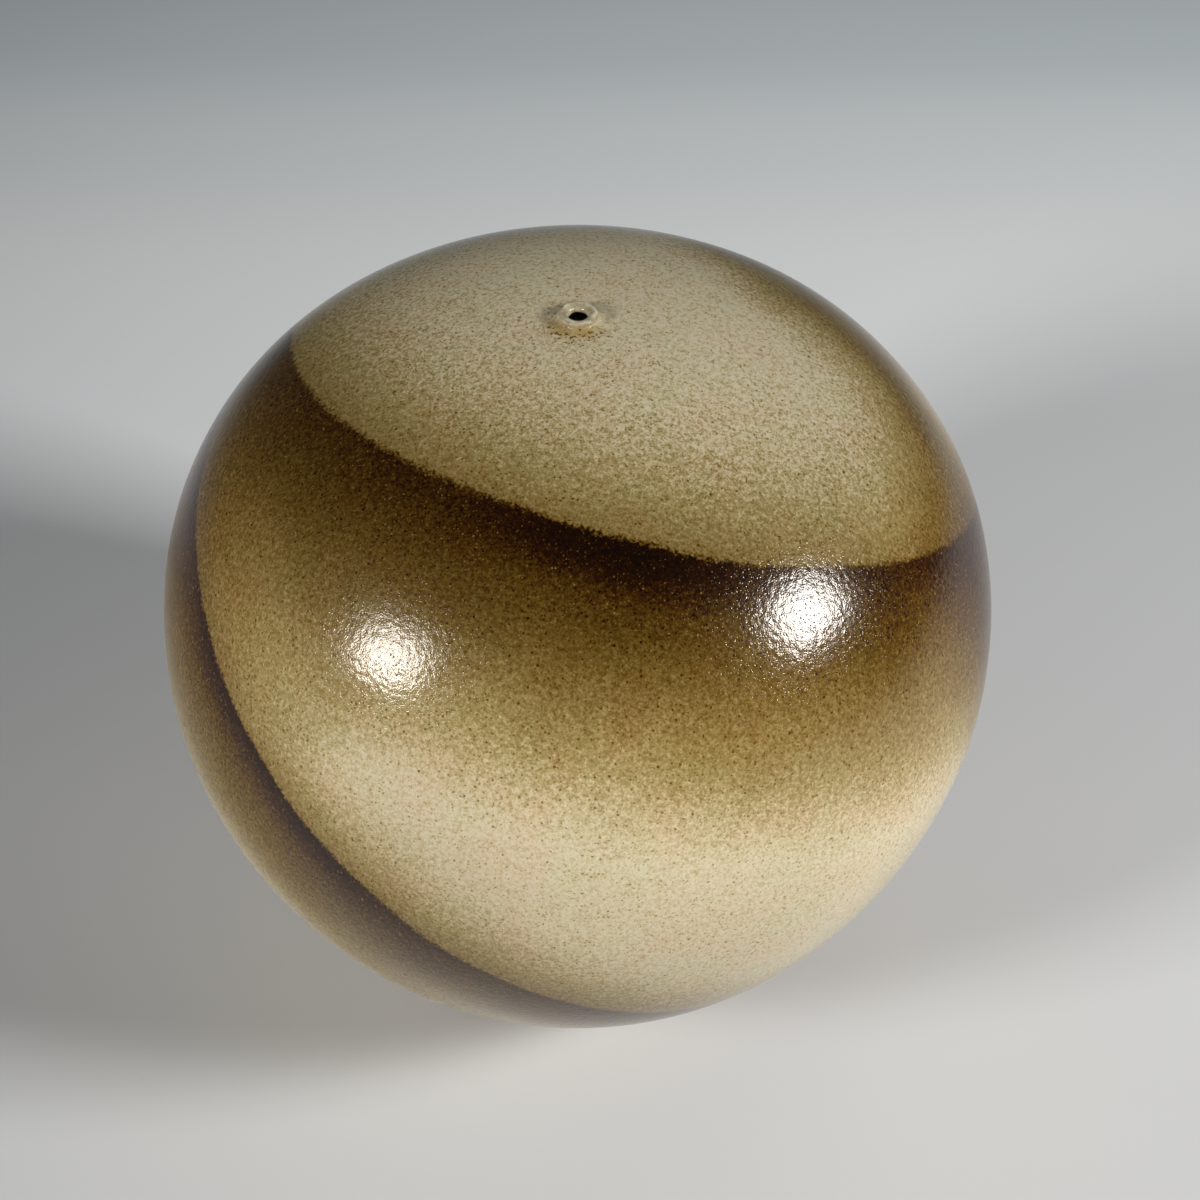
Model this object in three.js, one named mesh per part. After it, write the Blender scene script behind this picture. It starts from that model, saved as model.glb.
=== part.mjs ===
import * as THREE from "three";

// A closed stoneware bottle. Two thrown bowls are luted rim to rim, with a roll of clay worked
// into the joint inside. A small ring makes the mouth, a turned ring makes the foot, and a coat
// of sprayed glaze covers all of it down to a line above the foot, which stays bare.
// Millimetres, +Z up. The origin is the middle of the foot's underside.

// Driving dimensions of the glazed outline
const bellyRadius = 140;
const domeRise = 122.5;
const bowlDrop = 149.8; // to where the curve would close if the foot didn't cut it
const domePower = 2.2; // 2 is an ellipse, and more is squarer in the shoulder
const bowlPower = 1.87;

// Clay
const wall = 7;
const floorThickness = 9;
const hollowPower = 2; // the inside of the lower bowl, so its wall thickens towards the foot
const coilHeight = 12;
const coilDepth = 5;

// Foot
const footRadius = 54;
const footHeight = 7;
const footWidth = 10;
const footTaper = 2; // each side leans in by this much on the way down
const footBevel = 1;

// Mouth
const throatRadius = 3; // the open hole, inside the glaze
const lipWall = 1.7; // the bare clay lip
const lipRound = 0.3; // its outer edge
const funnelDepth = 1; // inside the lip, from its crest down to the throat
const lipRise = 3.2; // the lip's crest above the dome's crown
const flareReach = 7.5; // from the lip's outside to where its skirt meets the dome
const seatDepth = 1.5; // the mouth ring is let into the dome by this much

// Glaze
const glazeThickness = 0.5;
const glazeGap = 0.3; // between the coat and the clay
const glazeLine = 12; // the coat's lower edge above the table
const throatGlaze = 4; // how far the coat runs down inside the mouth
const seatGap = 0.3; // around the mouth ring in its seat, and behind the joint's roll

// Facets
const segments = 60;
const domeSteps = 9;
const bowlSteps = 8;
const flareSteps = 3;
const lipSteps = 2;
const funnelSteps = 3;
const coilSteps = 6;

const QUARTER = Math.PI / 2;

// Values worked out from the above
const coat = glazeGap + glazeThickness;
const clayThroat = throatRadius + coat;
const clayLip = clayThroat + lipWall;
const seatRadius = clayLip + flareReach;
const crestRadius = clayLip - lipRound;
const footTurn = turnAtRadius(bellyRadius - coat, bowlPower, footRadius);
const girth = footHeight + curvePoint(bellyRadius - coat, bowlDrop - coat, bowlPower, footTurn).y;
const crest = girth + domeRise + lipRise;
const lipFoot = crest - coat - lipRound; // where the lip's round begins

// The belly is two quarters of super-ellipses that meet at the widest ring. A turn of 0 is the
// widest ring, and a quarter turn is the axis.
function curvePoint(reach, height, power, turn) {
  const r = reach * Math.cos(turn) ** (2 / power);
  const z = height * Math.sin(turn) ** (2 / power);
  return new THREE.Vector2(r, z);
}

function turnAtRadius(reach, power, radius) {
  return Math.acos((radius / reach) ** (power / 2));
}

function turnAtHeight(height, power, z) {
  return Math.asin((z / height) ** (power / 2));
}

function points(steps, at) {
  return Array.from({ length: steps + 1 }, (_, i) => at(i / steps));
}

// A layer of the dome, from the widest ring in to a radius. Inset is its depth under the glaze.
function domeLayer(inset, toRadius) {
  const last = turnAtRadius(bellyRadius - inset, domePower, toRadius);
  return points(domeSteps, (t) => domePoint(inset, t * last));
}

function domePoint(inset, turn) {
  const p = curvePoint(bellyRadius - inset, domeRise - inset, domePower, turn);
  return new THREE.Vector2(p.x, girth + p.y);
}

// A layer of the lower bowl's outside, from the widest ring down to the glaze line.
function bowlLayer(inset) {
  const last = turnAtHeight(bowlDrop - inset, bowlPower, girth - glazeLine);
  return points(bowlSteps, (t) => bowlPoint(inset, t * last));
}

function bowlPoint(inset, turn) {
  const p = curvePoint(bellyRadius - inset, bowlDrop - inset, bowlPower, turn);
  return new THREE.Vector2(p.x, girth - p.y);
}

// An arc of an ellipse about a centre, with angles from +R towards +Z.
function arc(r, z, reachR, reachZ, from, to, steps) {
  return points(steps, (t) => {
    const angle = from + (to - from) * t;
    return new THREE.Vector2(r + reachR * Math.cos(angle), z + reachZ * Math.sin(angle));
  });
}

// The skirt, lip and funnel of the mouth, from the dome inwards. The lip is thin at its crest, and
// the funnel inside it narrows to the throat. Proud is how far a layer stands off the clay.
function mouthLayer(proud) {
  const joint = domeHeightAt(coat, seatRadius);
  const skirt = arc(
    seatRadius,
    lipFoot,
    flareReach - proud,
    lipFoot - joint - proud,
    -QUARTER,
    -2 * QUARTER,
    flareSteps,
  );
  const round = lipRound + proud;
  const lip = arc(crestRadius, lipFoot, round, round, 0, QUARTER, lipSteps);
  const funnel = arc(
    crestRadius,
    crest - coat - funnelDepth,
    crestRadius - clayThroat + proud,
    funnelDepth + proud,
    QUARTER,
    2 * QUARTER,
    funnelSteps,
  );
  return [...skirt, ...lip.slice(1), ...funnel.slice(1)];
}

function domeHeightAt(inset, radius) {
  return domePoint(inset, turnAtRadius(bellyRadius - inset, domePower, radius)).y;
}

// The inside of the lower bowl, from its rim down to the middle of the floor.
function hollow() {
  const reach = bellyRadius - coat - wall;
  const depth = girth - footHeight - floorThickness;
  return points(bowlSteps, (t) => {
    const p = curvePoint(reach, depth, hollowPower, t * QUARTER);
    return new THREE.Vector2(t === 1 ? 0 : p.x, girth - p.y);
  });
}

// Turns a profile about the axis. It runs up the outside and down the inside.
function turned(name, profile, color, roughness) {
  const geometry = new THREE.LatheGeometry(profile, segments);
  geometry.rotateX(QUARTER);
  const material = new THREE.MeshStandardMaterial({ color, roughness, metalness: 0 });
  const mesh = new THREE.Mesh(geometry, material);
  mesh.name = name;
  return mesh;
}

function closed(profile) {
  return [...profile, profile[0].clone()];
}

function lowerBowl() {
  const middle = new THREE.Vector2(0, footHeight);
  const edge = new THREE.Vector2(footRadius, footHeight);
  const outside = bowlLayer(coat).reverse();
  return turned("lower_bowl", [middle, edge, ...outside, ...hollow()], 0x9a7f63, 0.9);
}

function upperBowl() {
  const bore = clayThroat;
  const seatWall = seatRadius + seatGap;
  const seat = domeHeightAt(coat, seatRadius) - seatDepth;
  const outside = domeLayer(coat, seatWall);
  const inside = domeLayer(coat + wall, bore).reverse();
  const step = [new THREE.Vector2(seatWall, seat), new THREE.Vector2(bore, seat)];
  return turned("upper_bowl", closed([...outside, ...step, ...inside]), 0x9a7f63, 0.9);
}

// The roll of clay worked into the joint inside. Its back follows the two walls a gap away.
function seamCoil() {
  const half = coilHeight / 2;
  const middle = bellyRadius - coat - wall - seatGap;
  const above = domeLayer(coat + wall, clayThroat);
  const below = hollow();
  const top = new THREE.Vector2(chordRadius(above, girth + half) - seatGap, girth + half);
  const bottom = new THREE.Vector2(chordRadius(below, girth - half) - seatGap, girth - half);
  const front = arc(middle, girth, coilDepth, half, QUARTER, 3 * QUARTER, coilSteps).slice(1, -1);
  const back = [bottom, new THREE.Vector2(middle, girth), top];
  return turned("seam_coil", closed([...back, ...front]), 0x8c7258, 0.95);
}

// The radius at a height on a profile's first straight facet.
function chordRadius(profile, z) {
  const [a, b] = profile;
  return a.x + ((b.x - a.x) * (z - a.y)) / (b.y - a.y);
}

function mouthRing() {
  const seat = domeHeightAt(coat, seatRadius) - seatDepth;
  const floor = [new THREE.Vector2(clayThroat, seat), new THREE.Vector2(seatRadius, seat)];
  return turned("mouth_ring", closed([...floor, ...mouthLayer(0)]), 0xb8a98c, 0.7);
}

function footRing() {
  const outer = footRadius - footTaper;
  const inner = footRadius - footWidth + footTaper;
  const profile = [
    new THREE.Vector2(inner + footBevel, 0),
    new THREE.Vector2(outer - footBevel, 0),
    new THREE.Vector2(outer, footBevel),
    new THREE.Vector2(footRadius, footHeight),
    new THREE.Vector2(footRadius - footWidth, footHeight),
    new THREE.Vector2(inner, footBevel),
  ];
  return turned("foot_ring", closed(profile), 0x8f7458, 0.95);
}

// The coat runs up from the glaze line, over the dome and the lip, and a little way down inside.
function glazeCoat() {
  const end = crest - throatGlaze;
  const layer = (inset) => {
    const bowl = bowlLayer(inset).reverse();
    const dome = domeLayer(inset, seatRadius).slice(1, -1);
    const mouth = mouthLayer(coat - inset);
    const throat = new THREE.Vector2(clayThroat - coat + inset, end);
    return [...bowl, ...dome, ...mouth, throat];
  };
  const outside = layer(0);
  const inside = layer(glazeThickness).reverse();
  return turned("glaze_coat", closed([...outside, ...inside]), 0xcdb890, 0.3);
}

const bottle = new THREE.Group();
bottle.add(footRing(), lowerBowl(), upperBowl(), seamCoil(), mouthRing(), glazeCoat());

export default bottle;
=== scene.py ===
# %% [markdown]
# # A closed stoneware bottle with a sprayed glaze
#
# The real object is a thrown bottle, almost a ball, with one tiny mouth at its crown. Two bowls
# were thrown and joined rim to rim, a small collared ring was let in as the mouth, and a foot was
# turned under it. A satin cream glaze was sprayed on, and iron was sprayed over that along paper
# edges, so each brown band is crisp on one side and fades away on the other.
#
# Everything here is turned on one axis. So the script draws each piece as an outline, turns all
# of them with one Geometry Nodes tree, and then spends most of its effort on the glaze.

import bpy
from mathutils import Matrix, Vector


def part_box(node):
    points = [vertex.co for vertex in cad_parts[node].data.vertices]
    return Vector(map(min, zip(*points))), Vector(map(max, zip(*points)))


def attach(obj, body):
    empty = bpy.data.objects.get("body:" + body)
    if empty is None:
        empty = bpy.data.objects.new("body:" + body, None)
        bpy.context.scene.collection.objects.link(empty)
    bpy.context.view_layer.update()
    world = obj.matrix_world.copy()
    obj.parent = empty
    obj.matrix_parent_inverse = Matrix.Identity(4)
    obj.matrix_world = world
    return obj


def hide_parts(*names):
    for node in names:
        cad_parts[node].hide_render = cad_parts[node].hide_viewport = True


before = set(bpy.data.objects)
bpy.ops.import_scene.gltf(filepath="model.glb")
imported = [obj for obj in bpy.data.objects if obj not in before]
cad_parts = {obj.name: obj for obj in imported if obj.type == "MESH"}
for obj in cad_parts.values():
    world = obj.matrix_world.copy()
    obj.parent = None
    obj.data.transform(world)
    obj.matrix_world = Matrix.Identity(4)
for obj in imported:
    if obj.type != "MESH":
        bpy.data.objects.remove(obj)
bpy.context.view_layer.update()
print("The packed model:", sorted(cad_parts))

# %% The other modules
from math import acos, asin, cos, pi, radians, sin

import bmesh
import bpy
import numpy as np
from mathutils import Matrix, Vector

# %% [markdown]
# ## Sizes
#
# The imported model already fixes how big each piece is. What it says is read from its boxes, so
# the outlines below can't drift from it. Only the curves' characters and the thin layers are
# written as numbers. All of them are in millimetres, because a potter thinks in millimetres, and
# each mesh is scaled to metres once, when it is made.

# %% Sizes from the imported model
MM = 0.001


def in_mm(node):
    """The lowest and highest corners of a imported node."""
    low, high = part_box(node)
    return low / MM, high / MM


coat_low, coat_high = in_mm("glaze_coat")
belly_radius = coat_high.x
crest = coat_high.z
glaze_line = coat_low.z
girth = in_mm("upper_bowl")[0].z
seat_radius = in_mm("mouth_ring")[1].x
mouth_seat = in_mm("mouth_ring")[0].z
foot_radius = in_mm("foot_ring")[1].x
foot_height = in_mm("foot_ring")[1].z
print(f"Belly {2 * belly_radius:.1f} mm across, widest {girth:.1f} mm up, {crest:.1f} mm high")

# %% Sizes of the curves and the thin layers
dome_power, bowl_power = 2.2, 1.87
wall_sway, lip_sway = 0.5, 0.3  # the lip is drawn lower by its sway, which may lift it again
lip_rise = 3.2
lip_wall, lip_round = 1.7, 0.3
funnel_depth = 1.0
throat_radius = 3.0
throat_glaze = 4.0
glaze_thickness, glaze_gap = 0.5, 0.3
wall, floor_thickness = 7.0, 9.0
foot_width, foot_taper = 10.0, 2.0
coil_height, coil_depth = 12.0, 5.0

coat = glaze_thickness + glaze_gap
clay_throat = throat_radius + coat
clay_lip = clay_throat + lip_wall
lip_radius = clay_lip + coat
clay_crest = crest - lip_sway - coat
crest_radius = clay_lip - lip_round
throat_top = crest - lip_sway - coat - funnel_depth
dome_rise = crest - lip_rise - girth
clay_reach = belly_radius - coat

# %% [markdown]
# ## Drawing an outline
#
# The belly is two quarters of a super-ellipse that meet at the widest ring. A power of 2 is an
# ellipse, and a higher one is squarer in the shoulder: the dome is a little squarer than an
# ellipse, and the bowl a little slacker. An outline could be drawn by hand with Bezier handles,
# but a formula can be drawn again at any depth under the surface, which is what a glaze coat, a
# clay body and a hollow need.

# %% Curves that follow a rule
fine_steps = 1500


def super_ellipse(reach, height, power, last_turn):
    """Radius and height from the widest ring (turn 0) towards the axis (turn pi / 2)."""
    turn = np.linspace(0, last_turn, fine_steps)
    radius = reach * np.cos(turn).clip(0) ** (2 / power)
    return np.column_stack([radius, height * np.sin(turn) ** (2 / power)])


def dome(depth, to_radius):
    """The dome at a depth under the glazed surface, from the widest ring in to a radius."""
    reach = belly_radius - depth
    last = acos((to_radius / reach) ** (dome_power / 2))
    return super_ellipse(reach, dome_rise - depth, dome_power, last) + [0, girth]


def find_bowl_drop():
    """How far down the clay bowl would close if the foot didn't cut it off at its edge."""
    turn = acos((foot_radius / clay_reach) ** (bowl_power / 2))
    return (girth - foot_height) / sin(turn) ** (2 / bowl_power) + coat


bowl_drop = find_bowl_drop()


def bowl(depth, to_height):
    """The bowl at a depth under the glazed surface, from the widest ring down to a height."""
    drop = bowl_drop - depth
    last = asin(((girth - to_height) / drop) ** (bowl_power / 2))
    return super_ellipse(belly_radius - depth, drop, bowl_power, last) * [1, -1] + [0, girth]


def arc(middle, reach, first, last, count=24):
    """An arc of an ellipse, with angles in degrees from outwards towards up."""
    angle = np.radians(np.linspace(first, last, count))
    return np.column_stack([np.cos(angle), np.sin(angle)]) * reach + middle


print(f"The bowl's curve would close {bowl_drop:.1f} mm under the widest ring")

# %% Even steps along an outline, and eased corners
def length_along(outline):
    """The length of an outline up to each of its points."""
    return np.concatenate([[0], np.cumsum(np.hypot(*np.diff(outline, axis=0).T))])


def stepped(outline, spacing):
    """The same outline with points at even steps."""
    outline = np.asarray(outline, float)
    length = length_along(outline)
    at = np.linspace(0, length[-1], max(2, round(length[-1] / spacing) + 1))
    return np.column_stack([np.interp(at, length, outline[:, i]) for i in (0, 1)])


def eased(corners, radius, steps=5):
    """Straight runs between corners, each corner but the two ends rounded off."""
    corners = [np.array(corner, float) for corner in corners]
    outline = [corners[0]]
    for before, corner, after in zip(corners, corners[1:], corners[2:]):
        back, ahead = before - corner, after - corner
        reach = min(radius, np.hypot(*back) / 2, np.hypot(*ahead) / 2)
        start = corner + back / np.hypot(*back) * reach
        end = corner + ahead / np.hypot(*ahead) * reach
        for t in np.linspace(0, 1, steps):
            outline.append((1 - t) ** 2 * start + 2 * t * (1 - t) * corner + t ** 2 * end)
    return np.array(outline + [corners[-1]])


shared_within = 0.004


def joined(*runs):
    """Runs of an outline, one after another, with the points that two runs share kept once."""
    points = np.vstack(runs)
    step = np.hypot(*np.diff(points, axis=0).T)
    return points[np.concatenate([[True], step > shared_within])]


# %% [markdown]
# ## One tree turns every piece
#
# A wheel makes a pot by turning one outline about one axis, so a Geometry Nodes tree does the
# same here. It lays out a grid with a column for each step round the wheel and a row for each
# point of the outline, and looks every grid point's radius and height up on the outline. The
# Screw modifier could turn an outline too, but a tree can do the rest of the job in the same
# place: it lets the glaze line wander as a wiped edge does, and pushes the wall in by a slow
# noise, because no hand-thrown wall is perfectly round. That noise depends on the place alone, so
# all the layers sway together and the clay never comes through the glaze.

# %% A helper that adds a node
def add(tree, kind, inputs=None, **settings):
    """Adds a node, sets it, and fills or links its inputs, which are named or numbered."""
    node = tree.nodes.new(kind)
    for name, value in settings.items():
        setattr(node, name, value)
    for key, value in (inputs or {}).items():
        named = [s for s in node.inputs if s.name == key and s.enabled]
        socket = named[0] if named else node.inputs[key]
        if isinstance(value, bpy.types.Node):
            value = next(s for s in value.outputs if s.enabled)
        if isinstance(value, bpy.types.NodeSocket):
            tree.links.new(value, socket)
        else:
            socket.default_value = value
    return node


def axis_parts(tree, place):
    """The separate X, Y and Z of a place, and its distance from the bottle's axis."""
    part = add(tree, "ShaderNodeSeparateXYZ", {"Vector": place}).outputs
    flat = add(tree, "ShaderNodeCombineXYZ", {"X": part["X"], "Y": part["Y"]})
    return part, add(tree, "ShaderNodeVectorMath", {0: flat}, operation="LENGTH")


# %% The wheel's inputs
wheel = bpy.data.node_groups.new("turned_on_the_wheel", "GeometryNodeTree")
wheel.interface.new_socket("Geometry", in_out="OUTPUT", socket_type="NodeSocketGeometry")
wheel_inputs = {}
for input_name, input_kind in {
    "Outline": "NodeSocketGeometry",
    "Steps round": "NodeSocketInt",
    "Sway": "NodeSocketFloat",
    "Sway scale": "NodeSocketFloat",
    "Widest height": "NodeSocketFloat",
    "Lip sway": "NodeSocketFloat",
    "Lip sway scale": "NodeSocketFloat",
    "Lip radius": "NodeSocketFloat",
    "Line drift": "NodeSocketFloat",
    "Line height": "NodeSocketFloat",
    "Line slope": "NodeSocketFloat",
    "Seed": "NodeSocketFloat",
    "Material": "NodeSocketMaterial",
}.items():
    made = wheel.interface.new_socket(input_name, in_out="INPUT", socket_type=input_kind)
    wheel_inputs[input_name] = made.identifier
given = add(wheel, "NodeGroupInput").outputs
print(f"The wheel has {len(wheel_inputs)} inputs")

# %% [markdown]
# The grid's points are numbered column by column. So the remainder of a point's number by the
# number of rows is its row on the outline, and the whole part is its step round the wheel.

# %% Rows and columns
outline_size = add(wheel, "GeometryNodeAttributeDomainSize", {"Geometry": given["Outline"]})
row_count = outline_size.outputs["Point Count"]
column_count = add(wheel, "ShaderNodeMath", {0: given["Steps round"], 1: 1.0}, operation="ADD")
grid = add(wheel, "GeometryNodeMeshGrid", {"Vertices X": column_count, "Vertices Y": row_count})
number = add(wheel, "GeometryNodeInputIndex")
row = add(wheel, "ShaderNodeMath", {0: number, 1: row_count}, operation="MODULO")
share = add(wheel, "ShaderNodeMath", {0: number, 1: row_count}, operation="DIVIDE")
column = add(wheel, "ShaderNodeMath", {0: share}, operation="FLOOR")
turn = add(wheel, "ShaderNodeMath", {0: 2 * pi, 1: given["Steps round"]}, operation="DIVIDE")
angle = add(wheel, "ShaderNodeMath", {0: column, 1: turn}, operation="MULTIPLY")
cosine = add(wheel, "ShaderNodeMath", {0: angle}, operation="COSINE")
sine = add(wheel, "ShaderNodeMath", {0: angle}, operation="SINE")
outwards = add(wheel, "ShaderNodeCombineXYZ", {"X": cosine, "Y": sine})

# %% Look the outline up, row by row
place = add(wheel, "GeometryNodeInputPosition")
on_outline = add(wheel, "GeometryNodeSampleIndex", {
    "Geometry": given["Outline"], "Value": place, "Index": row,
}, data_type="FLOAT_VECTOR", domain="POINT")
outline_part = add(wheel, "ShaderNodeSeparateXYZ", {"Vector": on_outline}).outputs
spread = add(wheel, "ShaderNodeVectorMath", {
    0: outwards, "Scale": outline_part["X"],
}, operation="SCALE")
level = add(wheel, "ShaderNodeCombineXYZ", {"Z": outline_part["Z"]})
turned_place = add(wheel, "ShaderNodeVectorMath", {0: spread, 1: level}, operation="ADD")

# %% [markdown]
# The glaze line is wiped back by hand, so it isn't level. A slow noise moves its points up or
# down, and out or in by the wall's own slope there, so they stay on the wall. The drift dies out
# within 20 mm above the line.

# %% Drift of the glaze line
drift_height, seam = 20 * MM, 0.002 * MM
drift_noise = add(wheel, "ShaderNodeTexNoise", {
    "Vector": outwards, "W": given["Seed"], "Scale": 2.6, "Detail": 3.0, "Roughness": 0.55,
}, noise_dimensions="4D")
drift_end = add(wheel, "ShaderNodeMath", {
    0: given["Line height"], 1: drift_height,
}, operation="ADD")
near_line = add(wheel, "ShaderNodeMapRange", {
    "Value": outline_part["Z"], "From Min": given["Line height"], "From Max": drift_end,
    "To Min": 1.0, "To Max": 0.0,
}, interpolation_type="SMOOTHSTEP")
most = add(wheel, "ShaderNodeMath", {0: near_line, 1: given["Line drift"]}, operation="MULTIPLY")
lifted = add(wheel, "ShaderNodeMath", {0: drift_noise, 1: most}, operation="MULTIPLY")
pushed = add(wheel, "ShaderNodeMath", {0: lifted, 1: given["Line slope"]}, operation="MULTIPLY")
push = add(wheel, "ShaderNodeVectorMath", {0: outwards, "Scale": pushed}, operation="SCALE")
lift = add(wheel, "ShaderNodeCombineXYZ", {"Z": lifted})
drift = add(wheel, "ShaderNodeVectorMath", {0: push, 1: lift}, operation="ADD")
turned = add(wheel, "GeometryNodeSetPosition", {
    "Geometry": grid, "Position": turned_place, "Offset": drift,
})
shut = add(wheel, "GeometryNodeMergeByDistance", {"Geometry": turned, "Distance": seam})

# %% [markdown]
# The sway pushes every point towards the middle of the belly, never out, so the bottle stays
# inside its packed size. It is held back near the foot, which was turned true to stand flat, and
# near the mouth, which is too small for it. The lip gets a finer sway of its own. A noise lies
# about 0.5 and seldom strays more than 0.3 from it.

# %% Sway of the wall
true_foot, swaying_wall = 7 * MM, 45 * MM  # heights
swaying_dome = 45 * MM  # distance from the axis
middle = add(wheel, "ShaderNodeCombineXYZ", {"Z": given["Widest height"]})
from_middle = add(wheel, "ShaderNodeVectorMath", {0: place, 1: middle}, operation="SUBTRACT")
inwards = add(wheel, "ShaderNodeVectorMath", {0: from_middle}, operation="NORMALIZE")
sway_noise = add(wheel, "ShaderNodeTexNoise", {
    "Vector": place, "W": given["Seed"], "Scale": given["Sway scale"], "Detail": 1.0,
}, noise_dimensions="4D")
sway_share = add(wheel, "ShaderNodeMapRange", {
    "Value": sway_noise, "From Min": 0.3, "From Max": 0.7, "To Min": 0.0, "To Max": -1.0,
})
place_part, from_axis = axis_parts(wheel, place)
off_foot = add(wheel, "ShaderNodeMapRange", {
    "Value": place_part["Z"], "From Min": true_foot, "From Max": swaying_wall,
}, interpolation_type="SMOOTHSTEP")
off_mouth = add(wheel, "ShaderNodeMapRange", {
    "Value": from_axis, "From Min": given["Lip radius"], "From Max": swaying_dome,
}, interpolation_type="SMOOTHSTEP")
sway = add(wheel, "ShaderNodeMath", {0: sway_share, 1: given["Sway"]}, operation="MULTIPLY")
sway = add(wheel, "ShaderNodeMath", {0: sway, 1: off_foot}, operation="MULTIPLY")
sway = add(wheel, "ShaderNodeMath", {0: sway, 1: off_mouth}, operation="MULTIPLY")
sway_push = add(wheel, "ShaderNodeVectorMath", {0: inwards, "Scale": sway}, operation="SCALE")

# %% Sway of the lip
noise_middle = (0.5, 0.5, 0.5)
lip_noise = add(wheel, "ShaderNodeTexNoise", {
    "Vector": place, "W": given["Seed"], "Scale": given["Lip sway scale"], "Detail": 1.0,
}, noise_dimensions="4D")
lip_aim = add(wheel, "ShaderNodeVectorMath", {
    0: lip_noise.outputs["Color"], 1: noise_middle,
}, operation="SUBTRACT")
lip_edge = add(wheel, "ShaderNodeMath", {0: given["Lip radius"], 1: 2.0}, operation="MULTIPLY")
at_lip = add(wheel, "ShaderNodeMapRange", {
    "Value": from_axis, "From Min": given["Lip radius"], "From Max": lip_edge,
    "To Min": 1.0, "To Max": 0.0,
}, interpolation_type="SMOOTHSTEP")
above_middle = add(wheel, "ShaderNodeMath", {
    0: place_part["Z"], 1: given["Widest height"],
}, operation="GREATER_THAN")
lip_share = add(wheel, "ShaderNodeMath", {0: at_lip, 1: above_middle}, operation="MULTIPLY")
lip_reach = add(wheel, "ShaderNodeMath", {0: lip_share, 1: given["Lip sway"]}, operation="MULTIPLY")
lip_push = add(wheel, "ShaderNodeVectorMath", {0: lip_aim, "Scale": lip_reach}, operation="SCALE")
push_all = add(wheel, "ShaderNodeVectorMath", {0: sway_push, 1: lip_push}, operation="ADD")
swayed = add(wheel, "GeometryNodeSetPosition", {"Geometry": shut, "Offset": push_all})

# %% Smooth shading, and the tree's end
smooth = add(wheel, "GeometryNodeSetShadeSmooth", {"Geometry": swayed})
whole = add(wheel, "GeometryNodeRealizeInstances", {"Geometry": smooth})
finished = add(wheel, "GeometryNodeSetMaterial", {
    "Geometry": whole, "Material": given["Material"],
})
add(wheel, "NodeGroupOutput", {"Geometry": finished})
print(f"The wheel has {len(wheel.nodes)} nodes")

# %% [markdown]
# An outline becomes a mesh with points and no faces, the tree turns it, and the result is kept as
# a plain mesh. A modifier's input is set by its socket's identifier, which stays the same when
# its name changes. The mesh is measured: a turned piece has to be closed, with its faces outwards.

# %% Turn an outline and keep the mesh
slope_span = 6
line_ahead = bowl(0, glaze_line + slope_span)[-1]
line_slope = (line_ahead[0] - bowl(0, glaze_line)[-1][0]) / (line_ahead[1] - glaze_line)
wall_sway_width, lip_sway_width, lip_noise_gain = 90, 3.5, 3.3
print(f"The wall leans out by {line_slope:.2f} for each step up at the glaze line")


def turn_piece(name, outline, material, steps_round=192, line_drift=0.0):
    """A mesh object with the outline, in mm, turned about the axis, with its finish on it."""
    mesh = bpy.data.meshes.new(name + "_outline")
    mesh.from_pydata([(r * MM, 0, z * MM) for r, z in outline], [], [])
    piece = bpy.data.objects.new(name, mesh)
    bpy.context.scene.collection.objects.link(piece)
    turning = piece.modifiers.new("turning", "NODES")
    turning.node_group = wheel
    for input_name, value in {
        "Steps round": steps_round,
        "Sway": wall_sway * MM,
        "Sway scale": 1 / (wall_sway_width * MM),
        "Widest height": girth * MM,
        "Lip sway": lip_noise_gain * lip_sway * MM,
        "Lip sway scale": 1 / (lip_sway_width * MM),
        "Lip radius": lip_radius * MM,
        "Line drift": line_drift * MM,
        "Line height": glaze_line * MM,
        "Line slope": line_slope,
        "Seed": 4.0,
        "Material": material,
    }.items():
        turning[wheel_inputs[input_name]] = value
    evaluated = piece.evaluated_get(bpy.context.evaluated_depsgraph_get())
    piece.data = bpy.data.meshes.new_from_object(evaluated)
    piece.data.name = name
    piece.modifiers.clear()
    bpy.data.meshes.remove(mesh)
    measure(piece)
    return piece


def measure(piece):
    """Prints what was made: its triangles, its volume, and how many edges are left open."""
    shape = bmesh.new()
    shape.from_mesh(piece.data)
    triangles = sum(len(face.verts) - 2 for face in shape.faces)
    opened = sum(1 for edge in shape.edges if len(edge.link_faces) != 2)
    volume = shape.calc_volume(signed=True) / (10 * MM) ** 3
    shape.free()
    print(f"{piece.name}: {triangles} triangles, {volume:.1f} cm3, {opened} open edges")


# %% [markdown]
# ## Colours and places that the finishes share
#
# Hex colours are easy to read and to change, but they are written for the screen. The nodes work
# in linear light, so one function turns the one into the other.

# %% Hex colours to linear light
def linear(hex_colour):
    """The linear colour that a screen shows as the hex one, with no transparency."""
    parts = [int(hex_colour[i:i + 2], 16) / 255 for i in (1, 3, 5)]
    curve = [p / 12.92 if p <= 0.04045 else ((p + 0.055) / 1.055) ** 2.4 for p in parts]
    return (*curve, 1.0)


def fill_ramp(ramp_node, stops):
    """Fills a Color Ramp node from pairs of position and hex colour."""
    elements = ramp_node.color_ramp.elements
    while len(elements) > 1:
        elements.remove(elements[-1])
    elements[0].position, elements[0].color = stops[0][0], linear(stops[0][1])
    for position, hex_colour in stops[1:]:
        elements.new(position).color = linear(hex_colour)


def new_finish(name):
    """A material with an empty tree, and places in mm from the middle of the widest ring."""
    material = bpy.data.materials.new(name)
    material.use_nodes = True
    tree = material.node_tree
    tree.nodes.clear()
    spot = add(tree, "ShaderNodeTexCoord")
    place = add(tree, "ShaderNodeMapping", {
        "Vector": spot.outputs["Object"],
        "Location": (0, 0, -girth),
        "Scale": (1 / MM, 1 / MM, 1 / MM),
    })
    return material, tree, place


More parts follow.
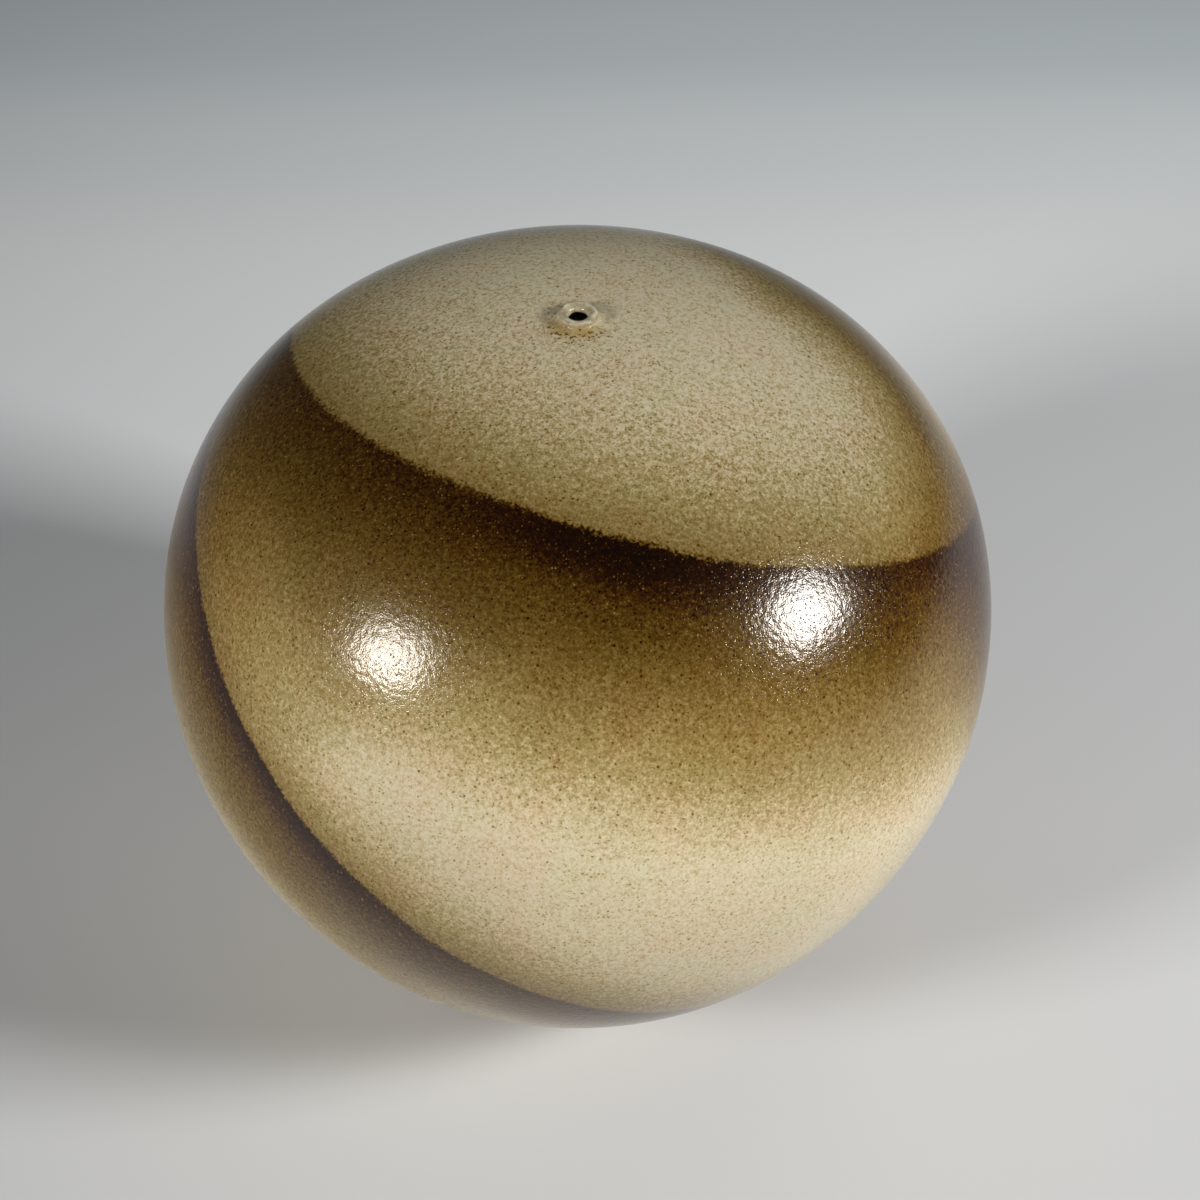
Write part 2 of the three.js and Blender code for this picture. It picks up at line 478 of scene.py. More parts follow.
# %% [markdown]
# ## The sprayed glaze
#
# The glaze is a satin feldspar glaze, opaque and cream, with a skin like fine orange peel because
# it was sprayed and not dipped. Iron oxide was sprayed over it from the side of a straight paper
# edge: next to the paper it is almost black, and it thins out over about eight centimetres
# through rust and olive to the bare cream. On the other side of the paper only a faint overspray
# landed. One more band was sprayed freehand, with no paper, so it is soft on both sides. The
# layout here is a plain one of sloping bands.
#
# A painted image could hold all this, but it would need a flat layout of the surface, and grain
# this fine would need a huge one. Here the amount of iron is worked out at every point, from the
# point's height over a tilted plane, and one colour ramp turns that amount into the colour. A
# texture's scale is how many times it repeats in a millimetre, so it is always written as 1 over
# a real width.

# %% Unevenness of the spray
sprayed_glaze, tree, place = new_finish("satin_cream_glaze_with_sprayed_iron")
slow_unevenness = add(tree, "ShaderNodeTexNoise", {"Vector": place, "Scale": 1 / 60, "Detail": 2.0})
paper_waver = add(tree, "ShaderNodeTexNoise", {"Vector": place, "Scale": 1 / 38, "Detail": 1.0})
droplets = add(tree, "ShaderNodeTexNoise", {"Vector": place, "Scale": 1 / 1.1, "Detail": 2.0})
waver_reach, droplet_reach, drift_reach = 3.0, 4.0, 24.0  # mm from one extreme to the other

# %% A sprayed band
most_broad, most_overspray, overspray_curve = 0.8, 0.42, 1.6
edge_start, edge_end = 1.0, 2.8  # the blur of the paper's edge
edge_pass_depth, edge_pass_full = 17.0, 2.0
share_start, share_full = -0.3 * belly_radius, 0.8 * belly_radius
spot_start, spot_full = 0.86 * belly_radius, 0.99 * belly_radius


def sprayed_band(tilt, level, fade, overspray, heavy_side, lightest, heaviest):
    """The amount of iron, 0 to 1, of a band sprayed under a paper edge laid on a tilted plane.

    The plane's upward direction is tilt and its distance from the middle is level, in mm. The
    iron thins out over fade mm under the edge and overspray mm above it. It is thickest towards
    the heavy side, and right there one more pass of the gun left the heaviest iron at the edge.
    """
    up = Vector(tilt).normalized()
    height = add(tree, "ShaderNodeVectorMath", {0: place, 1: up}, operation="DOT_PRODUCT")
    waver = add(tree, "ShaderNodeMath", {
        0: paper_waver, 1: waver_reach, 2: -level - waver_reach / 2,
    }, operation="MULTIPLY_ADD")
    above = add(tree, "ShaderNodeMath", {0: height, 1: waver}, operation="ADD")
    fuzzy = add(tree, "ShaderNodeMath", {
        0: droplets, 1: droplet_reach, 2: above,
    }, operation="MULTIPLY_ADD")
    side = add(tree, "ShaderNodeMapRange", {
        "Value": fuzzy, "From Min": edge_start, "From Max": edge_end,
    }, interpolation_type="SMOOTHSTEP")
    drift = add(tree, "ShaderNodeMath", {
        0: slow_unevenness, 1: drift_reach, 2: -drift_reach / 2,
    }, operation="MULTIPLY_ADD")
    soft = add(tree, "ShaderNodeMath", {0: above, 1: drift}, operation="ADD")
    broad_pass = add(tree, "ShaderNodeMapRange", {
        "Value": soft, "From Min": -fade, "From Max": 0.0, "To Min": 0.0, "To Max": most_broad,
    })
    edge_pass = add(tree, "ShaderNodeMapRange", {
        "Value": above, "From Min": -edge_pass_depth, "From Max": -edge_pass_full,
        "To Min": 0.0, "To Max": heaviest,
    }, interpolation_type="SMOOTHSTEP")
    thinning = add(tree, "ShaderNodeMapRange", {
        "Value": above, "From Min": 0.0, "From Max": overspray, "To Min": 1.0, "To Max": 0.0,
    })
    curved = add(tree, "ShaderNodeMath", {0: thinning, 1: overspray_curve}, operation="POWER")
    over = add(tree, "ShaderNodeMath", {0: curved, 1: most_overspray}, operation="MULTIPLY")
    broad = add(tree, "ShaderNodeMix", {
        "Factor": side, "A": broad_pass, "B": over,
    }, data_type="FLOAT")
    heavy = add(tree, "ShaderNodeVectorMath", {
        0: place, 1: Vector(heavy_side).normalized(),
    }, operation="DOT_PRODUCT")
    share = add(tree, "ShaderNodeMapRange", {
        "Value": heavy, "From Min": share_start, "From Max": share_full,
        "To Min": lightest, "To Max": 1.0,
    }, interpolation_type="SMOOTHSTEP")
    spot = add(tree, "ShaderNodeMapRange", {
        "Value": heavy, "From Min": spot_start, "From Max": spot_full,
    }, interpolation_type="SMOOTHSTEP")
    shared = add(tree, "ShaderNodeMath", {0: broad, 1: share}, operation="MULTIPLY")
    under_edge = add(tree, "ShaderNodeMath", {0: 1.0, 1: side}, operation="SUBTRACT")
    extra = add(tree, "ShaderNodeMath", {0: edge_pass, 1: spot}, operation="MULTIPLY")
    extra = add(tree, "ShaderNodeMath", {0: extra, 1: under_edge}, operation="MULTIPLY")
    return add(tree, "ShaderNodeMath", {0: shared, 1: extra}, operation="ADD")


# %% A freehand band
wander_reach = 40.0


def freehand_band(tilt, level, reach, most):
    """The iron of a soft band sprayed freehand, thinning out on both sides of a tilted plane."""
    up = Vector(tilt).normalized()
    height = add(tree, "ShaderNodeVectorMath", {0: place, 1: up}, operation="DOT_PRODUCT")
    wander = add(tree, "ShaderNodeMath", {
        0: slow_unevenness, 1: wander_reach, 2: -level - wander_reach / 2,
    }, operation="MULTIPLY_ADD")
    off = add(tree, "ShaderNodeMath", {0: height, 1: wander}, operation="ADD")
    away = add(tree, "ShaderNodeMath", {0: off}, operation="ABSOLUTE")
    return add(tree, "ShaderNodeMapRange", {
        "Value": away, "From Min": 0.0, "From Max": reach, "To Min": most, "To Max": 0.0,
    }, interpolation_type="SMOOTHSTEP")


# %% [markdown]
# One band goes round under the crown and one round the belly, and the freehand one lies on the
# right, towards the back. They lie over each other: the iron that a second one adds lands on what
# the first left open, so the open shares are multiplied, and the iron is what is left.

# %% The bands together
bands = [
    sprayed_band(
        tilt=(0.22, 0.30, 0.93), level=74, fade=86, overspray=45,
        heavy_side=(0.03, -0.69, 0.72), lightest=0.72, heaviest=0.26,
    ),
    sprayed_band(
        tilt=(0.58, -0.18, 0.79), level=-16, fade=76, overspray=40,
        heavy_side=(-0.72, -0.67, 0.17), lightest=0.72, heaviest=0.1,
    ),
    freehand_band(tilt=(0.85, 0.50, 0.15), level=108, reach=42, most=0.5),
]
bare_share = 1.0
for band in bands:
    left_open = add(tree, "ShaderNodeMath", {0: 1.0, 1: band}, operation="SUBTRACT")
    bare_share = add(tree, "ShaderNodeMath", {0: bare_share, 1: left_open}, operation="MULTIPLY")
iron = add(tree, "ShaderNodeMath", {0: 1.0, 1: bare_share}, operation="SUBTRACT")
print(f"{len(bands)} bands of sprayed iron")

# %% [markdown]
# Sprayed iron lands as droplets, so the surface is grainy everywhere, and most where the iron
# thins out and on the crown, which the spray gun passed most often. Each droplet could be a dot
# of its own, but there are far too many, and they run together. So two noises draw the grain,
# 1.5 mm and 0.7 mm wide. Real droplets are about 0.3 mm wide, which is too fine to show in the
# picture, so the grain is drawn as coarse as it needs to be to show.
#
# Single specks of 0.3 to 0.9 mm lie on the cream as well. A Voronoi texture gives each speck a
# cell, and a random colour per cell says how big and how dark it is, and whether it is there at
# all. The pinpricks further down are drawn in the same way, so one function makes both.

# %% Crown
place_part, from_axis = axis_parts(tree, place)
crown_height = crest - girth
crown_start, crown_full = crown_height - 70, crown_height - 25
crown_share = add(tree, "ShaderNodeMapRange", {
    "Value": place_part["Z"], "From Min": crown_start, "From Max": crown_full,
}, interpolation_type="SMOOTHSTEP")
print(f"The crown starts {crown_start + girth:.1f} mm up")

# %% Grain
fine_weight = 0.7
grain_middle = 0.5 + 0.5 * fine_weight
coarse_grain = add(tree, "ShaderNodeTexNoise", {
    "Vector": place, "Scale": 1 / 1.45, "Detail": 2.0, "Roughness": 0.6,
})
fine_grain = add(tree, "ShaderNodeTexNoise", {"Vector": place, "Scale": 1 / 0.66, "Detail": 1.0})
both_grains = add(tree, "ShaderNodeMath", {
    0: fine_grain, 1: fine_weight, 2: coarse_grain,
}, operation="MULTIPLY_ADD")
even_grain = add(tree, "ShaderNodeMath", {0: both_grains, 1: grain_middle}, operation="SUBTRACT")
grain_reach = add(tree, "ShaderNodeMapRange", {
    "Value": iron, "From Min": 0.0, "From Max": 0.3, "To Min": 0.53, "To Max": 0.45,
})
crown_reach = add(tree, "ShaderNodeMapRange", {
    "Value": iron, "From Min": 0.1, "From Max": 0.4, "To Min": 0.24, "To Max": 0.0,
})
grain_reach = add(tree, "ShaderNodeMath", {
    0: crown_share, 1: crown_reach, 2: grain_reach,
}, operation="MULTIPLY_ADD")
grain = add(tree, "ShaderNodeMath", {0: even_grain, 1: grain_reach}, operation="MULTIPLY")

# %% Dots, one to a cell
def dots(spacing, smallest, largest, blur_in, blur_out):
    """How much of a dot lies at each place, and the random numbers of the cell that it lies in.

    The spacing is in mm, and a dot's radius and the blur of its rim are shares of the spacing.
    """
    cells = add(tree, "ShaderNodeTexVoronoi", {"Vector": place, "Scale": 1 / spacing})
    chance = add(tree, "ShaderNodeSeparateColor", {"Color": cells.outputs["Color"]}).outputs
    radius = add(tree, "ShaderNodeMapRange", {
        "Value": chance["Red"], "To Min": smallest, "To Max": largest,
    })
    off_rim = add(tree, "ShaderNodeMath", {
        0: cells.outputs["Distance"], 1: radius,
    }, operation="SUBTRACT")
    body = add(tree, "ShaderNodeMapRange", {
        "Value": off_rim, "From Min": -blur_in, "From Max": blur_out, "To Min": 1.0, "To Max": 0.0,
    }, interpolation_type="SMOOTHSTEP")
    return body, chance


# %% Specks
speck_body, speck_chance = dots(1.3, smallest=0.12, largest=0.34, blur_in=0.08, blur_out=0.08)
speck_patches = add(tree, "ShaderNodeTexNoise", {"Vector": place, "Scale": 1 / 30, "Detail": 2.0})
speck_limit = add(tree, "ShaderNodeMapRange", {
    "Value": speck_patches, "From Min": 0.35, "From Max": 0.65, "To Min": 0.6, "To Max": 0.25,
})
speck_there = add(tree, "ShaderNodeMath", {
    0: speck_chance["Green"], 1: speck_limit,
}, operation="GREATER_THAN")
speck_tone = add(tree, "ShaderNodeMapRange", {
    "Value": speck_chance["Blue"], "To Min": 0.05, "To Max": 0.28,
})
speck = add(tree, "ShaderNodeMath", {0: speck_body, 1: speck_there}, operation="MULTIPLY")
speck = add(tree, "ShaderNodeMath", {0: speck, 1: speck_tone}, operation="MULTIPLY")

# %% [markdown]
# Where the iron lies thick, bubbles came up through it in the firing and let the cream show
# again, as paler pinpricks of 0.2 to 0.7 mm, about a millimetre apart. They take iron away in the
# same way that the specks add it.

# %% Pinpricks in the thick iron
prick_body, prick_chance = dots(1.05, smallest=0.08, largest=0.32, blur_in=0.06, blur_out=0.08)
prick_depth = add(tree, "ShaderNodeMapRange", {
    "Value": prick_chance["Green"], "From Min": 0.1, "To Min": 0.0, "To Max": 0.36,
})
in_thick_iron = add(tree, "ShaderNodeMapRange", {
    "Value": iron, "From Min": 0.4, "From Max": 0.8,
})
prick = add(tree, "ShaderNodeMath", {0: prick_body, 1: prick_depth}, operation="MULTIPLY")
prick = add(tree, "ShaderNodeMath", {0: prick, 1: in_thick_iron}, operation="MULTIPLY")

# %% The colour for each amount of iron
grained = add(tree, "ShaderNodeMath", {0: iron, 1: grain}, operation="ADD")
specked = add(tree, "ShaderNodeMath", {0: grained, 1: speck}, operation="ADD")
amount = add(tree, "ShaderNodeMath", {0: specked, 1: prick}, operation="SUBTRACT")
settled = add(tree, "ShaderNodeMapRange", {
    "Value": amount, "From Min": -0.1, "From Max": 1.0, "To Min": 0.0, "To Max": 1.0,
})
iron_colour = add(tree, "ShaderNodeValToRGB", {"Fac": settled})
fill_ramp(iron_colour, [
    (0.00, "#D9CBAE"),
    (0.09, "#D2C2A1"),
    (0.15, "#CAB792"),
    (0.22, "#BCA77F"),
    (0.29, "#A79365"),
    (0.37, "#957F4E"),
    (0.46, "#82693A"),
    (0.56, "#6B5221"),
    (0.69, "#50370A"),
    (0.78, "#3E2304"),
    (0.87, "#270F02"),
    (1.00, "#120702"),
])

# %% [markdown]
# In the kiln the cream didn't come out as one colour: it has faint patches a few centimetres wide
# that blush pink or lean to green, which a slow noise mixes over each other.

# %% Pink and green patches
blush = add(tree, "ShaderNodeTexNoise", {"Vector": place, "Scale": 1 / 16, "Detail": 3.0})
blush_colour = add(tree, "ShaderNodeValToRGB", {"Fac": blush})
fill_ramp(blush_colour, [(0.35, "#FBFFFA"), (0.5, "#FEFFFC"), (0.65, "#FFFBF8")])
blushed = add(tree, "ShaderNodeMix", {
    "Factor": 1.0, "A": iron_colour, "B": blush_colour,
}, data_type="RGBA", blend_type="MULTIPLY")

# %% [markdown]
# Near the crown the glaze changes, and shade is painted on. Over the top of the dome it is
# multiplied
# by a cool grey: painted shade, as the low soft boxes light the crown less than the shoulders.
# It is pale on the lip, where it ran thin over the edge, and ochre in the hollow under the lip,
# where it pooled. Inside the throat it is painted nearly black: painted shade, for the hollow
# behind it is dark. Brown specks lie round the pool: a noise is lifted there, so that only near
# that ring it passes the threshold that draws a speck.

# %% Painted shade over the crown
# Painted shade: the top of the dome is multiplied by a cool grey, as the low soft boxes light it
# less.
crown_shaded = add(tree, "ShaderNodeMix", {
    "Factor": crown_share, "A": blushed, "B": linear("#D1D3D5"),
}, data_type="RGBA", blend_type="MULTIPLY")

# %% Pooled glaze under the lip
pool_start, pool_end = lip_radius + 3.5, lip_radius + 9.5
pool_waver = 5.0
photographed_side = Vector((-0.25, -0.97, 0))
pool_noise = add(tree, "ShaderNodeTexNoise", {"Vector": place, "Scale": 1 / 3.5, "Detail": 3.0})
pool_edge = add(tree, "ShaderNodeMath", {
    0: pool_noise, 1: pool_waver, 2: from_axis,
}, operation="MULTIPLY_ADD")
pool_ring = add(tree, "ShaderNodeMapRange", {
    "Value": pool_edge, "From Min": pool_start, "From Max": pool_end,
    "To Min": 1.0, "To Max": 0.0,
}, interpolation_type="SMOOTHSTEP")
pool_side = add(tree, "ShaderNodeVectorMath", {
    0: place, 1: photographed_side,
}, operation="DOT_PRODUCT")
pool_front = add(tree, "ShaderNodeMapRange", {
    "Value": pool_side, "From Min": 0.5, "From Max": 6.5, "To Min": 0.1, "To Max": 0.85,
}, interpolation_type="SMOOTHSTEP")
pool = add(tree, "ShaderNodeMath", {0: pool_ring, 1: pool_front}, operation="MULTIPLY")
pooled = add(tree, "ShaderNodeMix", {
    "Factor": pool, "A": crown_shaded, "B": linear("#846D3C"),
}, data_type="RGBA")

# %% Brown specks round the pool
ring_radius, ring_reach = lip_radius + 3.0, 6.0
ring_noise = add(tree, "ShaderNodeTexNoise", {"Vector": place, "Scale": 1 / 1.1, "Detail": 1.0})
ring_place = add(tree, "ShaderNodeMath", {0: from_axis, 1: ring_radius}, operation="SUBTRACT")
ring_far = add(tree, "ShaderNodeMath", {0: ring_place}, operation="ABSOLUTE")
ring_band = add(tree, "ShaderNodeMapRange", {
    "Value": ring_far, "From Min": 0.0, "From Max": ring_reach, "To Min": 0.13, "To Max": -0.03,
})
ring_sum = add(tree, "ShaderNodeMath", {0: ring_noise, 1: ring_band}, operation="ADD")
ring_speck = add(tree, "ShaderNodeMapRange", {
    "Value": ring_sum, "From Min": 0.68, "From Max": 0.76,
}, interpolation_type="SMOOTHSTEP")
ring_front = add(tree, "ShaderNodeMath", {0: ring_speck, 1: pool_front}, operation="MULTIPLY")
specked_ring = add(tree, "ShaderNodeMix", {
    "Factor": ring_front, "A": pooled, "B": linear("#4A3414"),
}, data_type="RGBA")

# %% Pale lip
lip_waver = 1.8
lip_depth = add(tree, "ShaderNodeMath", {
    0: pool_noise, 1: lip_waver, 2: place_part["Z"],
}, operation="MULTIPLY_ADD")
high_enough = add(tree, "ShaderNodeMapRange", {
    "Value": lip_depth, "From Min": crown_height - 0.9, "From Max": crown_height - 0.1,
}, interpolation_type="SMOOTHSTEP")
inside_lip = add(tree, "ShaderNodeMapRange", {
    "Value": from_axis, "From Min": lip_radius - 1.2, "From Max": lip_radius - 0.6,
    "To Min": 1.0, "To Max": 0.0,
})
on_lip = add(tree, "ShaderNodeMath", {0: high_enough, 1: inside_lip}, operation="MAXIMUM")
lip_clouds = add(tree, "ShaderNodeValToRGB", {"Fac": pool_noise})
fill_ramp(lip_clouds, [(0.35, "#82765B"), (0.5, "#958B71"), (0.65, "#A2987E")])
lipped = add(tree, "ShaderNodeMix", {
    "Factor": on_lip, "A": specked_ring, "B": lip_clouds,
}, data_type="RGBA")
on_edge = add(tree, "ShaderNodeMapRange", {
    "Value": place_part["Z"], "From Min": crown_height - 0.5, "From Max": crown_height - 0.1,
}, interpolation_type="SMOOTHSTEP")
edged = add(tree, "ShaderNodeMix", {
    "Factor": on_edge, "A": lipped, "B": linear("#B9B097"),
}, data_type="RGBA")

# %% Painted shade in the throat
in_throat = add(tree, "ShaderNodeMapRange", {
    "Value": place_part["Z"],
    "From Min": throat_top - girth - 0.3, "From Max": throat_top - girth,
    "To Min": 1.0, "To Max": 0.0,
})
near_axis = add(tree, "ShaderNodeMath", {
    0: from_axis, 1: throat_radius + 0.6,
}, operation="LESS_THAN")
throat_shade_share = add(tree, "ShaderNodeMath", {0: in_throat, 1: near_axis}, operation="MULTIPLY")
# Painted shade: the glaze in the throat is made nearly black, as the dark hollow behind it looks.
glaze_colour = add(tree, "ShaderNodeMix", {
    "Factor": throat_shade_share, "A": edged, "B": linear("#0C0907"),
}, data_type="RGBA")

# %% [markdown]
# The skin of the glaze is orange peel, in lumps of 1.7 mm with finer ones of 0.5 mm on them, and
# small pits lie in it less than a millimetre apart, where bubbles broke and healed. Together they
# break the soft boxes' reflections up: the white core gets dark pits, and sparkle lies round it.
# The mesh could carry forms this fine, but only with millions of faces, so they are a bump in the
# finish. Real peel and pits are finer still, and these are drawn as coarse as they need to show.
#
# The gloss is that of a satin glaze, and the pool under the lip is drier. A glaze's IOR is about
# 1.5, and 1.4 matched how much of the room this one mirrors. The film of iron warms what the
# glaze reflects.

# %% Orange peel and pits
lump_height, peel_height, pit_height = 0.08 * MM, 0.035 * MM, 0.045 * MM
pit_spacing = 0.85
lumps = add(tree, "ShaderNodeTexNoise", {"Vector": place, "Scale": 1 / 1.7, "Detail": 0.0})
lump_bump = add(tree, "ShaderNodeBump", {"Height": lumps, "Strength": 1.0, "Distance": lump_height})
peel = add(tree, "ShaderNodeTexNoise", {"Vector": place, "Scale": 1 / 0.5, "Detail": 0.0})
peel_bump = add(tree, "ShaderNodeBump", {
    "Height": peel, "Strength": 1.0, "Distance": peel_height, "Normal": lump_bump,
})
pit_cells = add(tree, "ShaderNodeTexVoronoi", {"Vector": place, "Scale": 1 / pit_spacing})
pit_chance = add(tree, "ShaderNodeSeparateColor", {"Color": pit_cells.outputs["Color"]}).outputs
pit_size = add(tree, "ShaderNodeMapRange", {
    "Value": pit_chance["Red"], "To Min": 0.16, "To Max": 0.5,
})
pit_depth = add(tree, "ShaderNodeMapRange", {
    "Value": pit_cells.outputs["Distance"], "From Min": 0.0, "From Max": pit_size,
}, interpolation_type="SMOOTHSTEP")
pit_bump = add(tree, "ShaderNodeBump", {
    "Height": pit_depth, "Strength": 1.0, "Distance": pit_height, "Normal": peel_bump,
})

# %% Gloss and the shader
dryness = add(tree, "ShaderNodeMapRange", {"Value": pool, "To Min": 0.16, "To Max": 0.4})
satin = add(tree, "ShaderNodeBsdfPrincipled", {
    "Base Color": glaze_colour,
    "Roughness": dryness,
    "IOR": 1.4,
    "Specular Tint": linear("#FFF9F0"),
    "Normal": pit_bump,
})
add(tree, "ShaderNodeOutputMaterial", {"Surface": satin})
print(f"{sprayed_glaze.name}: {len(tree.nodes)} nodes")

# %% [markdown]
# ## The thin glaze in the mouth
#
# Inside the mouth only a thin clear glaze was poured, so the clay shines through it: pale and
# glassy, with a few brown spots of iron that bled out of the body, and pinholes where gas came up.
# A layer of real glass over the clay could show it. But a glaze this thin does no more than
# deepen the clay's colour and give it a sharp gloss, and one plain shader with little roughness
# does both.

# %% Thin clear glaze
mouth_glaze, tree, place = new_finish("thin_clear_glaze_over_pale_clay")
clouds = add(tree, "ShaderNodeTexNoise", {"Vector": place, "Scale": 1 / 3.0, "Detail": 3.0})
cloud_colour = add(tree, "ShaderNodeValToRGB", {"Fac": clouds})
fill_ramp(cloud_colour, [(0.3, "#8C7B5E"), (0.5, "#A69A80"), (0.7, "#BDB29C")])
iron_spots = add(tree, "ShaderNodeTexVoronoi", {"Vector": place, "Scale": 1 / 1.6})
spot_share = add(tree, "ShaderNodeMapRange", {
    "Value": iron_spots, "From Min": 0.1, "From Max": 0.24, "To Min": 0.8, "To Max": 0.0,
})
spotted = add(tree, "ShaderNodeMix", {
    "Factor": spot_share, "A": cloud_colour, "B": linear("#4E3516"),
}, data_type="RGBA")
pinholes = add(tree, "ShaderNodeTexNoise", {"Vector": place, "Scale": 1 / 0.6, "Detail": 2.0})
pinhole_bump = add(tree, "ShaderNodeBump", {
    "Height": pinholes, "Strength": 1.0, "Distance": 0.04 * MM,
})
glassy = add(tree, "ShaderNodeBsdfPrincipled", {
    "Base Color": spotted, "Roughness": 0.12, "IOR": 1.5, "Normal": pinhole_bump,
})
add(tree, "ShaderNodeOutputMaterial", {"Surface": glassy})
print(f"{mouth_glaze.name}: {len(tree.nodes)} nodes")

# %% [markdown]
# ## Bare stoneware
#
# Where the glaze was wiped off, the clay shows: a buff stoneware body, dry and matt, turned on
# the wheel and fired in a flame that was short of air. That gives the eye three things. A band
# just under the glaze line is toasted orange brown. Pale grains of grog and dark specks of iron
# are scattered through it. And the turning tool dragged the grog into fine rings about the axis.
#
# The rings need no new texture: a noise that is read at the distance from the axis and the height
# has the same value all the way round, so it draws rings on any turned surface.

# %% Clay: buff body and toasted band
bare_clay, tree, place = new_finish("toasted_stoneware_with_fine_grog")
place_part, from_axis = axis_parts(tree, place)
body = add(tree, "ShaderNodeTexNoise", {"Vector": place, "Scale": 1 / 14, "Detail": 4.0})
clay_colour = add(tree, "ShaderNodeValToRGB", {"Fac": body})
fill_ramp(clay_colour, [(0.3, "#7E5E43"), (0.5, "#977557"), (0.7, "#AC8B6A")])
under_line = add(tree, "ShaderNodeMapRange", {
    "Value": place_part["Z"], "From Min": foot_height - girth - 2, "From Max": glaze_line - girth,
}, interpolation_type="SMOOTHSTEP")
outside = add(tree, "ShaderNodeMath", {0: from_axis, 1: foot_radius - 6}, operation="GREATER_THAN")
toast_share = add(tree, "ShaderNodeMath", {0: under_line, 1: outside}, operation="MULTIPLY")
toast_share = add(tree, "ShaderNodeMath", {0: toast_share, 1: body}, operation="MULTIPLY")
toasted = add(tree, "ShaderNodeMix", {
    "Factor": toast_share, "A": clay_colour, "B": linear("#7A3F1C"),
}, data_type="RGBA")

# %% Clay: grog and iron specks
grog = add(tree, "ShaderNodeTexVoronoi", {"Vector": place, "Scale": 1 / 1.1})
grog_chance = add(tree, "ShaderNodeSeparateColor", {"Color": grog.outputs["Color"]}).outputs
grog_body = add(tree, "ShaderNodeMapRange", {
    "Value": grog.outputs["Distance"], "From Min": 0.16, "From Max": 0.3,
    "To Min": 1.0, "To Max": 0.0,
})
is_pale = add(tree, "ShaderNodeMath", {0: grog_chance["Red"], 1: 0.7}, operation="GREATER_THAN")
is_dark = add(tree, "ShaderNodeMath", {0: grog_chance["Red"], 1: 0.12}, operation="LESS_THAN")
pale_share = add(tree, "ShaderNodeMath", {0: grog_body, 1: is_pale}, operation="MULTIPLY")
dark_share = add(tree, "ShaderNodeMath", {0: grog_body, 1: is_dark}, operation="MULTIPLY")
with_grog = add(tree, "ShaderNodeMix", {
    "Factor": pale_share, "A": toasted, "B": linear("#BFA684"),
}, data_type="RGBA")
with_specks = add(tree, "ShaderNodeMix", {
    "Factor": dark_share, "A": with_grog, "B": linear("#2E1C10"),
}, data_type="RGBA")

# %% Clay: turned rings, grit and the shader
ring_place = add(tree, "ShaderNodeCombineXYZ", {"X": from_axis, "Z": place_part["Z"]})
rings = add(tree, "ShaderNodeTexNoise", {"Vector": ring_place, "Scale": 1 / 0.9, "Detail": 2.0})
ring_bump = add(tree, "ShaderNodeBump", {"Height": rings, "Strength": 1.0, "Distance": 0.09 * MM})
grit = add(tree, "ShaderNodeTexNoise", {"Vector": place, "Scale": 1 / 0.7, "Detail": 3.0})
grit_bump = add(tree, "ShaderNodeBump", {
    "Height": grit, "Strength": 1.0, "Distance": 0.08 * MM, "Normal": ring_bump,
})
dry = add(tree, "ShaderNodeBsdfPrincipled", {
    "Base Color": with_specks, "Roughness": 0.85, "IOR": 1.5, "Normal": grit_bump,
})
add(tree, "ShaderNodeOutputMaterial", {"Surface": dry})
print(f"{bare_clay.name}: {len(tree.nodes)} nodes")

# %% [markdown]
# ## The outlines
#
# The mouth is where the eye goes. A skirt sweeps up from the dome to a thin rounded lip, and a
# small funnel leads down from it to a throat no wider than a pencil. It could be modelled by hand
# as a ring of faces, but it was turned like the rest, so three arcs and a straight run draw it.
# One function draws it for the bare clay and for both faces of the glaze on it, because they
# differ only in how far they stand proud of the clay.
#
# Each outline starts under the piece, runs up its outside and comes down its inside, which is
# what makes the turned faces point outwards.

# %% Outline of the mouth
mouth_spacing = 0.16
crest_lean = 0.3  # how far a layer's crest moves out, as a share of how proud the layer stands


def mouth(proud):
    """The skirt, the lip and the funnel, standing proud of the bare clay by so many mm."""
    joint = dome(coat, seat_radius)[-1][1]
    foot = clay_crest - lip_round
    skirt_reach = seat_radius - clay_lip - proud
    skirt = arc((seat_radius, foot), (skirt_reach, foot - joint - proud), 270, 180)
    top = crest_radius + crest_lean * proud
    lip = arc((top, foot), (clay_lip + proud - top, lip_round + proud), 0, 90)
    funnel = arc((top, throat_top), (top - clay_throat + proud, funnel_depth + proud), 90, 180)
    throat = [(clay_throat - proud, crest - throat_glaze)]
    return stepped(joined(skirt, lip, funnel, throat), mouth_spacing)


def rolled(start, end, bulge):
    """A half-round edge from one point to another, bulging by half their distance."""
    start, end = np.array(start), np.array(end)
    middle, half = (start + end) / 2, (end - start) / 2
    reach = np.array(bulge) / np.hypot(*bulge) * np.hypot(*half)
    angle = np.radians(np.linspace(-90, 90, 9))
    return middle + np.outer(np.sin(angle), half) + np.outer(np.cos(angle), reach)


# %% Outline of the glaze
face_spacing, back_spacing = 2.4, 6.0  # the back lies against the clay, where it never shows


def glaze_outline():
    """The glazed face, the rolled edge in the throat, the back and the rolled glaze line."""
    def layer(depth, spacing):
        bowl_run = stepped(bowl(depth, glaze_line)[::-1], spacing)
        dome_run = stepped(dome(depth, seat_radius), spacing)
        return joined(bowl_run, dome_run, mouth(coat - depth))

    outside, inside = layer(0, face_spacing), layer(glaze_thickness, back_spacing)[::-1]
    wall_down = outside[0] - outside[1]
    bottom = rolled(inside[-1], outside[0], wall_down)
    top = rolled(outside[-1], inside[0], (0, -1))
    return joined(outside, top, inside, bottom)


skin_outline = glaze_outline()
print(f"The glaze's outline has {len(skin_outline)} points")

